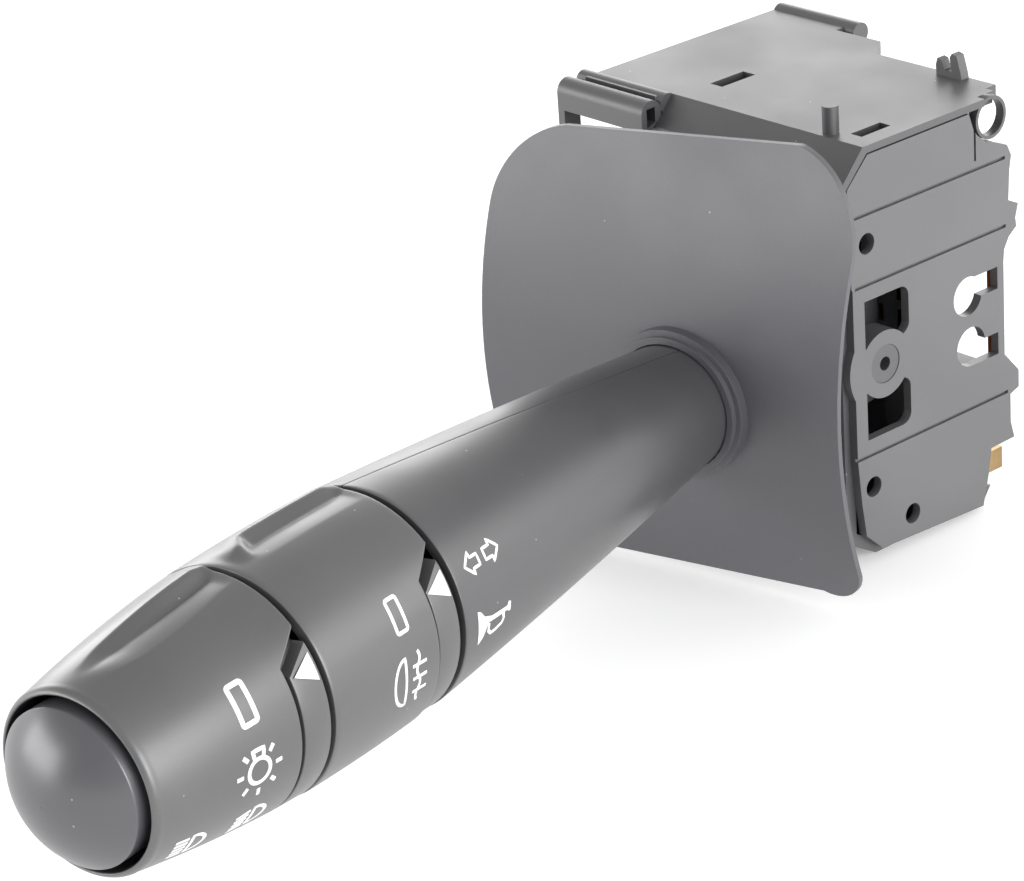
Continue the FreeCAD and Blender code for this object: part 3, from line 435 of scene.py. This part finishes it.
# The parting line is a gap of this many degrees on each side, and winds round the lever.
PARTING = 0.2
TWIST_ANGLE, TWIST_LENGTH = 11.2, 33.5
for side, name in ((0.0, "sleeve_shell_driver"), (180.0, "sleeve_shell_dash")):
    shell = turned(
        sleeve_outline, 0.14, span=180.0 - 2 * PARTING, start=side + PARTING, steps=128,
    )
    ends = [
        e for e in shell.edges
        if all(abs(v.co.x) < 0.1 for v in e.verts) and e.calc_face_angle(0.0) > 1.2
    ]
    bmesh.ops.bevel(
        shell, geom=ends, offset=0.07, offset_type="OFFSET", segments=2, profile=0.5,
        affect="EDGES", clamp_overlap=True, material=-1,
    )
    for vert in shell.verts:
        station = station_angle(vert.co)[0]
        turn_vert(vert, 1.9 - TWIST_ANGLE * (station - 31.0) / TWIST_LENGTH)
    node = "sleeve_front_half" if side == 0.0 else "sleeve_rear_half"
    finish_piece(on_lever(shell, name), name, sleeve_finish, "stalk", "sleeve_plastic", node)

# --- Pointer rings -------------------------------------------------------------------
# Fixed rings in black polyamide behind each grip. The part that the grip leaves open is a
# narrow band almost flush with it, and carries a printed white pointer.
def straight_ramp(low, high, value):
    """Straight rise from 0 to 1 between low and high."""
    return min(1.0, max(0.0, (value - low) / (high - low)))


ring_finish = moulded_plastic(
    "black_polyamide_ring", "#525253", grain=0.2, depth=0.02, roughness=0.34,
)
# Painted shade: the ring floors and the knob's mouth wall are the same polyamide as the grips,
# given this darker copy that stands in for the shade deep in the recesses.
recess_painted_shade = moulded_plastic(
    "black_polyamide_painted_shade", "#26262a", grain=0.2, depth=0.02, scuff=0.0,
)
BAND_END = 183.0
for name, start, first, front_radius, width in (
        ("fog", 66.0, 54.0, 14.85, 3.95), ("light", 90.35, 53.0, 14.62, 4.3)):
    floor = turned(
        [(CORE_BORE, NECK + start), (13.2, NECK + start), (13.2, NECK + start + 4.9),
         (11.8, NECK + start + 4.9), (11.8, NECK + start + 1.5),
         (CORE_BORE, NECK + start + 1.5)],
        0.1,
    )
    finish_piece(
        on_lever(floor, f"{name}_ring_floor"), f"{name}_ring_floor", recess_painted_shade, "stalk",
        "ring_plastic", f"{name}_pointer_ring",
    )
    band = turned(
        [(12.9, NECK + start), (14.88, NECK + start), (front_radius, NECK + start + width),
         (12.9, NECK + start + width)],
        0.14, span=BAND_END - first, start=first, steps=160,
    )
    # The upper end is slanted like the step in the grip, and its wall leans outward below.
    for vert in band.verts:
        station, angle, radius = station_angle(vert.co)
        near = straight_ramp(first + 40.0, first, angle % 360)
        turn_vert(vert, near * (2.6 * (station - start) - 2.4 * (14.8 - radius)))
    finish_piece(
        on_lever(band, f"{name}_band"), f"{name}_band", ring_finish, "stalk", "ring_plastic",
    )

# --- Fog lamp ring -------------------------------------------------------------------
# A turning grip in black polyamide with a finger lobe moulded on top. Its rear edge steps
# forward on the driver's side, where the pointer ring shows.
grip_finish = moulded_plastic(
    "black_polyamide_grip", "#525253", grain=0.2, depth=0.02, roughness=0.34,
)


def smooth_step(low, high, value):
    """Eased rise from 0 to 1 between low and high."""
    t = min(1.0, max(0.0, (value - low) / (high - low)))
    return t * t * (3 - 2 * t)


def creased(angle, corners):
    """Height of a section of straight slopes; each corner is an angle, a height and a rounding."""
    slopes = [0.0]
    for (a0, h0, _), (a1, h1, _) in zip(corners, corners[1:]):
        slopes.append((h1 - h0) / max(a1 - a0, 0.1))
    slopes.append(0.0)
    height = 0.0
    for (a, _, r), before, after in zip(corners, slopes, slopes[1:]):
        past = angle - a
        ramp = 0.0 if past < -r else past if past > r else (past + r) ** 2 / (4 * r)
        height += (after - before) * ramp
    return height


def fog_lobe(station, angle):
    """The fog ring's finger lobe: a ridge with a scooped flank that its nose closes off."""
    nose = smooth_step(82.6, 86.4, station)
    rise = 0.95 * smooth_step(88.4, 85.4, station)
    rise *= 0.45 + 0.55 * smooth_step(65.8, 68.0, station)
    hollow = 0.5 * (1 - smooth_step(82.8, 85.6, station))
    hollow *= smooth_step(65.8, 67.6, station)
    crest = -12.0 + 9.0 * nose
    foot = -6.0 + 11.0 * nose
    edge = 8.6 + 1.2 * nose
    return creased(angle, [
        (crest - 14.0, 0.0, 4.0), (crest, rise, 1.6), (foot, -hollow, 2.0),
        (edge, 0.0, 0.8 + 2.0 * nose),
    ])


def light_ridge(station, angle):
    """The light knob's ridge: it fades towards the tip, beside a leaf-shaped scoop."""
    crest = -9.0 - 2.0 * smooth_step(92.0, 109.0, station)
    crest += 2.2 * smooth_step(109.0, 113.0, station)
    rise = 0.85 * smooth_step(114.5, 95.0, station)
    rise *= 0.6 + 0.4 * smooth_step(90.4, 92.6, station)
    edge = 10.6 + 4.2 * smooth_step(91.0, 102.5, station)
    edge -= 5.6 * smooth_step(106.0, 114.2, station)
    foot = -4.0 + 0.8 * smooth_step(91.5, 98.0, station)
    foot += 1.4 * smooth_step(108.0, 114.0, station)
    hollow = 0.75 * smooth_step(114.4, 107.0, station) * smooth_step(90.4, 92.4, station)
    return creased(angle, [
        (crest - 17.0, 0.0, 5.0), (crest, rise, 1.4), (foot, -hollow, 2.2), (edge, 0.0, 0.5),
    ])


def add_relief(shape, relief, inner_radius):
    """Moves the outer skin in or out by the relief's height."""
    for vert in shape.verts:
        station, angle, radius = station_angle(vert.co)
        if radius > inner_radius:
            scale = (radius + relief(station, angle)) / radius
            vert.co.x *= scale
            vert.co.y *= scale


def outline_radius(outline, height):
    """Radius of an outline of radius and station at one height."""
    for (r0, s0), (r1, s1) in zip(outline, outline[1:]):
        if s0 <= height <= s1:
            return r0 + (r1 - r0) * (height - s0) / (s1 - s0)
    return outline[0][0] if height < outline[0][1] else outline[-1][0]


RIM = 0.3


def step_rear_edge(shape, skin, rear, depth, first, last):
    """Steps the rear rim towards the tip on the driver's side, with slanted ends."""
    anchor = rear + depth + 2.0
    for vert in shape.verts:
        station, angle, radius = station_angle(vert.co)
        if station > anchor:
            continue
        ramp = straight_ramp(first, first + 13.0, angle % 360)
        ramp *= straight_ramp(last, last - 11.0, angle % 360)
        rim = min(station - rear, RIM)
        rest = (station - rear - rim) * (anchor - rear - depth * ramp - RIM)
        rest /= anchor - rear - RIM
        moved = NECK + rear + depth * ramp + rim + rest
        if radius > 14.2:
            scale = 1 + (outline_radius(skin, moved) - outline_radius(skin, vert.co.z)) / radius
            vert.co.x *= scale
            vert.co.y *= scale
        vert.co.z = moved


FOG_REAR, FOG_FRONT, FOG_LENGTH = 65.9, 89.6, 23.7
FOG_PARTS = 46
fog_skin = [(15.02, NECK + FOG_REAR)] + [
    (15.05 + 0.2 * math.sin(math.pi * i / FOG_PARTS), NECK + FOG_REAR + FOG_LENGTH * i / FOG_PARTS)
    for i in range(1, FOG_PARTS)
] + [(14.98, NECK + FOG_FRONT)]
fog_blank = turned(
    fog_skin + [
        (13.4, NECK + FOG_FRONT), (13.4, NECK + 82.0), (CORE_BORE, NECK + 82.0),
        (CORE_BORE, NECK + 80.0), (13.4, NECK + 80.0), (13.5, NECK + FOG_REAR),
    ],
    0.12, steps=GRIP_STEPS,
)
add_relief(fog_blank, fog_lobe, 14.3)
step_rear_edge(fog_blank, fog_skin, FOG_REAR, 4.5, 45.0, 226.0)
finish_piece(
    on_lever(fog_blank, "fog_grip"), "fog_grip", grip_finish, "fog_grip", "grip_plastic",
    "fog_ring",
)

# --- Light knob ----------------------------------------------------------------------
# The outer turning grip, tapering to the tip, with a finger ridge whose driver's-side flank
# is scooped out. Moulded in the same polyamide as the fog lamp ring.
KNOB_REAR = 90.5
knob_skin = arc_points((14.95, NECK + KNOB_REAR), (13.75, NECK + 103.2), (11.8, NECK + 115.8), 64)
knob_tip = arc_points((11.8, NECK + 115.8), (11.55, NECK + 116.65), (11.1, NECK + 117.0), 6)[1:]
knob_blank = turned(
    knob_skin + knob_tip + [
        (10.9, NECK + 116.8), (10.9, NECK + 104.2), (CORE_BORE, NECK + 104.2),
        (CORE_BORE, NECK + 102.0), (12.2, NECK + 102.0), (13.4, NECK + KNOB_REAR),
    ],
    0.12, steps=GRIP_STEPS,
)
add_relief(knob_blank, light_ridge, 11.3)
step_rear_edge(knob_blank, knob_skin, KNOB_REAR, 4.7, 44.5, 261.0)
knob_piece = finish_piece(
    on_lever(knob_blank, "light_grip"), "light_grip", grip_finish, "light_grip", "grip_plastic",
    "light_knob",
)
# Painted shade: the mouth's inner wall gets the darker recess copy of the polyamide, standing in
# for the shade in the gap.
knob_piece.data.materials.append(recess_painted_shade)
to_lever = lever_place.inverted()
for polygon in knob_piece.data.polygons:
    station, _, radius = station_angle(to_lever @ polygon.center)
    polygon.material_index = int(radius < 10.95 and station > 103.0)

# --- Horn button ---------------------------------------------------------------------
# A domed push cap in the lever's tip, moulded in black polyamide with a finer, smoother
# skin than the grips. It sits in the knob's mouth with an even dark gap round it.
button_finish = moulded_plastic(
    "black_polyamide_button", "#48484c", grain=0.18, depth=0.012, roughness=0.30,
)
CAP_RADIUS, CAP_BORE, CAP_TOP = 9.95, 8.65, 122.75
dome = arc_points(
    (CAP_RADIUS, 118.0 + NECK), (5.6, 121.35 + NECK), (0.0, CAP_TOP + NECK), 40)[:-1]
button = turned(
    [(CAP_RADIUS, NECK + 110.5)] + dome + [
        (0.02, CAP_TOP + NECK), (0.02, 120.9 + NECK), (CAP_BORE, 117.0 + NECK),
        (CAP_BORE, NECK + 110.5),
    ],
    0.12,
)
finish_piece(
    on_lever(button, "horn_cap"), "horn_cap", button_finish, "horn", "button_plastic",
    "horn_button",
)

# --- Printed symbols -----------------------------------------------------------------
# White two-part ink, pad printed on the grips and the sleeve: function signs and the two
# pointers. Each stroke stands a few hundredths of a millimetre proud.
ink, ink_shader = blank_material("white_pad_print")
ink_where = add_node(ink, "ShaderNodeTexCoord").outputs["Object"]
ink_grain = add_node(ink, "ShaderNodeTexNoise", Vector=ink_where, Scale=2600.0, Detail=2.0)
ink_tone = add_node(
    ink, "ShaderNodeMix", {"data_type": "RGBA"}, _0=ink_grain.outputs["Fac"],
    _6=linear("#fbfbfa"), _7=linear("#ecedec"),
)
ink.node_tree.links.new(ink_tone.outputs[2], ink_shader.inputs["Base Color"])
ink_bump = add_node(
    ink, "ShaderNodeBump", Strength=0.2, Distance=0.01 * MM, Height=ink_grain.outputs["Fac"],
)
ink.node_tree.links.new(ink_bump.outputs["Normal"], ink_shader.inputs["Normal"])
ink_shader.inputs["Roughness"].default_value = 0.5

LINE = 0.27
# How far the ink's middle stands off the skin, and how much a stroke is flattened.
PRINT_LIFT, PRINT_FLATNESS = 0.015, 0.12


def stroke(points, closed, width):
    """A printed line through points of across and along, as a tube mesh before wrapping."""
    curve = bpy.data.curves.new("stroke", "CURVE")
    curve.dimensions = "3D"
    curve.bevel_depth = width
    curve.bevel_resolution = 2
    curve.use_fill_caps = True
    spline = curve.splines.new("POLY")
    spline.points.add(len(points) - 1)
    for place, (across, along) in zip(spline.points, points):
        place.co = (across, along, 0, 1)
    spline.use_cyclic_u = closed
    line = bpy.data.objects.new("stroke", curve)
    mesh = bpy.data.meshes.new_from_object(line)
    bpy.data.objects.remove(line)
    bpy.data.curves.remove(curve)
    return mesh


def round_path(centre, radii, start=0, end=360, count=24):
    """Points round an ellipse, in degrees from across towards along."""
    return [
        (centre[0] + radii[0] * math.cos(math.radians(start + (end - start) * i / count)),
         centre[1] + radii[1] * math.sin(math.radians(start + (end - start) * i / count)))
        for i in range(count + (0 if abs(end - start) == 360 else 1))
    ]


def dense(points, closed=False, step=0.35):
    """The same path with points close enough to follow the round grip."""
    ends = points[1:] + (points[:1] if closed else [])
    path = []
    for (ax, ay), (bx, by) in zip(points, ends):
        count = max(1, round(math.hypot(bx - ax, by - ay) / step))
        path += [(ax + (bx - ax) * i / count, ay + (by - ay) * i / count) for i in range(count)]
    return path if closed else path + [points[-1]]


def skin_radius(station, angle):
    """Radius of the visible skin under a printed sign."""
    outline = sleeve_outer if station < 65.2 else fog_skin if station < 90 else knob_skin
    base = outline_radius(outline, station + NECK)
    if station > 90:
        return base + light_ridge(station, angle)
    return base + (fog_lobe(station, angle) if station > 65.5 else 0.0)


def printed(name, body, slot, station, angle, lines, fills=(), width=LINE):
    """A sign wrapped on the grip: lines of (points, closed) and filled corner lists."""
    shape = bmesh.new()
    for points, closed in lines:
        mesh = stroke(dense(points, closed), closed, width)
        shape.from_mesh(mesh)
        bpy.data.meshes.remove(mesh)
    for corners in fills:
        patch = bmesh.new()
        patch.faces.new([patch.verts.new((x, y, -width)) for x, y in corners])
        bmesh.ops.triangulate(patch, faces=patch.faces)
        bmesh.ops.subdivide_edges(patch, edges=patch.edges, cuts=5, use_grid_fill=True)
        top = bmesh.ops.extrude_face_region(patch, geom=patch.faces[:])
        raised = [v for v in top["geom"] if isinstance(v, bmesh.types.BMVert)]
        bmesh.ops.translate(patch, verts=raised, vec=(0, 0, 2 * width))
        bmesh.ops.recalc_face_normals(patch, faces=patch.faces)
        mesh = to_mesh(patch, "fill")
        shape.from_mesh(mesh)
        bpy.data.meshes.remove(mesh)
    for vert in shape.verts:
        across, along, height = vert.co
        place = station - along
        base = skin_radius(place, angle)
        turn = angle + math.degrees(across / base)
        radius = skin_radius(place, turn) + PRINT_LIFT + height * PRINT_FLATNESS
        vert.co = (
            radius * math.sin(math.radians(turn)), radius * math.cos(math.radians(turn)),
            NECK + place,
        )
    bmesh.ops.recalc_face_normals(shape, faces=shape.faces)
    return finish_piece(on_lever(shape, name), name, ink, body, slot)


def zero_sign(size_across, size_along):
    """The off sign: an upright box with small rounded corners."""
    a, b, cut = size_across / 2, size_along / 2, 0.32
    path = []
    corners = ((a - cut, b - cut, 0), (cut - a, b - cut, 90), (cut - a, cut - b, 180),
               (a - cut, cut - b, 270))
    for x, y, first in corners:
        path += round_path((x, y), (cut, cut), first, first + 90, 4)
    return [(path, True)]


printed(
    "print_light_off", "light_grip", "grip_plastic", 101.9, 62.3, zero_sign(4.9, 2.15), width=0.33,
)
printed(
    "print_fog_off", "fog_grip", "grip_plastic", 76.1, 65.4, zero_sign(4.3, 1.9), width=0.25,
)

bulb = [(round_path((0.4, 0.0), (1.6, 1.6)), True),
        ([(-1.05, -0.62), (-2.3, -0.85), (-2.3, 0.85), (-1.05, 0.62)], False)]
RAY_START, RAY_END = 2.45, 3.4
for index in range(7):
    ray = math.radians(-138 + 46 * index)
    bulb.append(([(0.4 + RAY_START * math.cos(ray), RAY_START * math.sin(ray)),
                  (0.4 + RAY_END * math.cos(ray), RAY_END * math.sin(ray))], False))
printed("print_side_lamps", "light_grip", "grip_plastic", 101.9, 95.2, bulb)


def lamp_sign(slope, offset):
    """A headlamp bowl with five beams; the beams slope down for the dipped lamp."""
    bowl = [(x, y + offset) for x, y in round_path((0.0, 0.5), (1.75, 2.1), 0, 180, 16)]
    lines = [(bowl + [(-1.75, offset + 0.5)], True)]
    for row in range(5):
        x = -1.5 + 0.75 * row
        lines.append(([(x, offset - 0.15), (x + slope, offset - 2.1)], False))
    return lines


printed("print_dipped", "light_grip", "grip_plastic", 101.9, 128.0, lamp_sign(0.7, 0.0))
printed("print_main_beam", "light_grip", "grip_plastic", 111.0, 129.0, lamp_sign(0.0, 0.0))

fog_sign = [(round_path((0.0, -0.9), (3.15, 2.1), 180, 360, 20), True)]
wave = [(-3.25 + 6.8 * i / 28, 1.4 + 0.3 * math.sin(2 * math.pi * i / 14)) for i in range(29)]
fog_sign.append((wave, False))
for row in (-1.5, 0.2, 2.0):
    fog_sign.append(([(row, 0.35), (row + 0.15, 2.95)], False))
printed("print_rear_fog", "fog_grip", "grip_plastic", 76.0, 97.0, fog_sign, width=0.22)

# Two outlined arrows, one towards the tip and one towards the neck.
arrow = [
    (0.0, 1.7), (1.45, 0.2), (0.72, 0.2), (0.72, -1.2), (-0.72, -1.2), (-0.72, 0.2), (-1.45, 0.2),
]
for name, station, angle, way in (
        ("print_arrow_tip", 60.7, 64.4, -1), ("print_arrow_neck", 57.0, 64.2, 1)):
    outline = [(x, y * way) for x, y in arrow]
    printed(name, "stalk", "sleeve_plastic", station, angle, [(outline, True)], width=0.2)
trumpet = [
    (-3.07, -3.4), (-2.75, -2.75), (-1.8, -2.0), (-1.2, -0.4), (-1.05, 1.2), (-0.9, 3.0),
    (-1.4, 3.4), (-1.2, 3.8), (0.0, 3.7), (-0.05, 3.3), (-0.35, 3.0), (-0.4, 1.8), (-0.5, 0.4),
    (-0.62, -1.2), (0.1, -1.75), (0.9, -2.3), (1.35, -2.9), (1.53, -3.35),
]
loop = [
    (-0.4, 2.15), (0.45, 2.3), (0.95, 1.9), (1.2, 0.6), (1.2, -0.5), (0.6, -1.15), (-0.4, -1.0),
]
printed(
    "print_horn", "stalk", "sleeve_plastic", 59.0, 98.8, [(loop, False)], [trumpet], width=0.24,
)


def pointer(name, station, angle):
    """The filled white pointer on a band; its apex points to the grip's signs."""
    radius = 14.86
    shape = bmesh.new()
    half, length = 1.75, 3.5
    shape.faces.new([shape.verts.new(c) for c in ((-half, 0, 0), (half, 0, 0), (0, length, 0))])
    bmesh.ops.subdivide_edges(shape, edges=shape.edges, cuts=9, use_grid_fill=True)
    top = bmesh.ops.extrude_face_region(shape, geom=shape.faces[:])
    raised = [v for v in top["geom"] if isinstance(v, bmesh.types.BMVert)]
    bmesh.ops.translate(shape, verts=raised, vec=(0, 0, 0.05))
    for vert in shape.verts:
        turn = math.radians(angle + math.degrees(vert.co.x / radius))
        out = radius + vert.co.z
        vert.co = (out * math.sin(turn), out * math.cos(turn), NECK + station + vert.co.y)
    bmesh.ops.recalc_face_normals(shape, faces=shape.faces)
    finish_piece(on_lever(shape, name), name, ink, "stalk", "ring_plastic")


pointer("pointer_light", 90.75, 64.6)
pointer("pointer_fog", 66.3, 65.4)

# --- Studio --------------------------------------------------------------------------
# A pale seamless table and soft lamps, with the camera where the photograph was taken.
stage_material, stage_shader = blank_material("studio_paper")
stage_shader.inputs["Base Color"].default_value = linear("#fbfbfb")
stage_shader.inputs["Roughness"].default_value = 0.9
# The background's white: the paper shows paler to the camera and in reflections.
light_path = add_node(stage_material, "ShaderNodeLightPath")
seen = add_node(
    stage_material, "ShaderNodeMath", {"operation": "MAXIMUM"},
    _0=light_path.outputs["Is Camera Ray"], _1=light_path.outputs["Is Glossy Ray"],
)
seen = add_node(
    stage_material, "ShaderNodeMath", {"operation": "MAXIMUM"}, _0=seen.outputs[0],
    _1=light_path.outputs["Is Transmission Ray"],
)
PAPER_LIFT = 0.22
paleness = add_node(
    stage_material, "ShaderNodeMath", {"operation": "MULTIPLY"}, _0=seen.outputs[0],
    _1=PAPER_LIFT,
)
stage_shader.inputs["Emission Color"].default_value = (1, 1, 1, 1)
stage_material.node_tree.links.new(paleness.outputs[0], stage_shader.inputs["Emission Strength"])
FLOOR_GAP, FLOOR_HALF = 0.0004, 3.0
table_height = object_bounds()[0][2] - FLOOR_GAP
table = bmesh.new()
bmesh.ops.create_grid(table, x_segments=1, y_segments=1, size=FLOOR_HALF)
bmesh.ops.translate(table, verts=table.verts, vec=(0, 0, table_height))
floor_mesh = to_mesh(table, "studio_floor")
floor_mesh.materials.append(stage_material)
floor = bpy.data.objects.new("studio_floor", floor_mesh)
bpy.context.scene.collection.objects.link(floor)

world = bpy.data.worlds.new("studio")
bpy.context.scene.world = world
world.use_nodes = True
background = world.node_tree.nodes["Background"]
background.inputs["Color"].default_value = (1, 1, 1, 1)
WORLD_LIGHT = 0.6
background.inputs["Strength"].default_value = WORLD_LIGHT


def soft_lamp(name, place, aim, size, power):
    """A rectangular area lamp at a place, turned towards its aim."""
    lamp = bpy.data.lights.new(name, "AREA")
    lamp.shape = "RECTANGLE"
    lamp.size, lamp.size_y = size
    lamp.energy = power
    holder = bpy.data.objects.new(name, lamp)
    bpy.context.scene.collection.objects.link(holder)
    holder.location = place
    holder.rotation_euler = (Vector(aim) - Vector(place)).to_track_quat("-Z", "Y").to_euler()


object_middle = (0.0, -0.03, 0.0)
soft_lamp("back_panel", (-0.7, 0.75, 0.27), object_middle, (2.2, 0.54), 10.8)
soft_lamp("left_panel", (-0.9, -0.1, 0.2), object_middle, (1.3, 0.4), 2.0)
soft_lamp("front_panel", (-0.5, -0.85, 0.2), object_middle, (0.8, 0.4), 4.4)
soft_lamp("right_panel", (0.85, 0.05, 0.25), object_middle, (0.6, 0.5), 6.6)
soft_lamp("right_back_panel", (0.6, 0.7, 0.3), object_middle, (0.6, 0.5), 2.0)

camera_data = bpy.data.cameras.new("camera")
camera_data.lens = 126.9
camera_data.sensor_width = 36.0
camera = bpy.data.objects.new("camera", camera_data)
bpy.context.scene.collection.objects.link(camera)
camera.matrix_world = Matrix((
    (0.6637, -0.2638, 0.7000, 0.3144),
    (0.7448, 0.3194, -0.5858, -0.3276),
    (-0.0690, 0.9102, 0.4084, 0.1951),
    (0, 0, 0, 1),
))
bpy.context.scene.camera = camera
bpy.context.scene.view_settings.view_transform = "Standard"
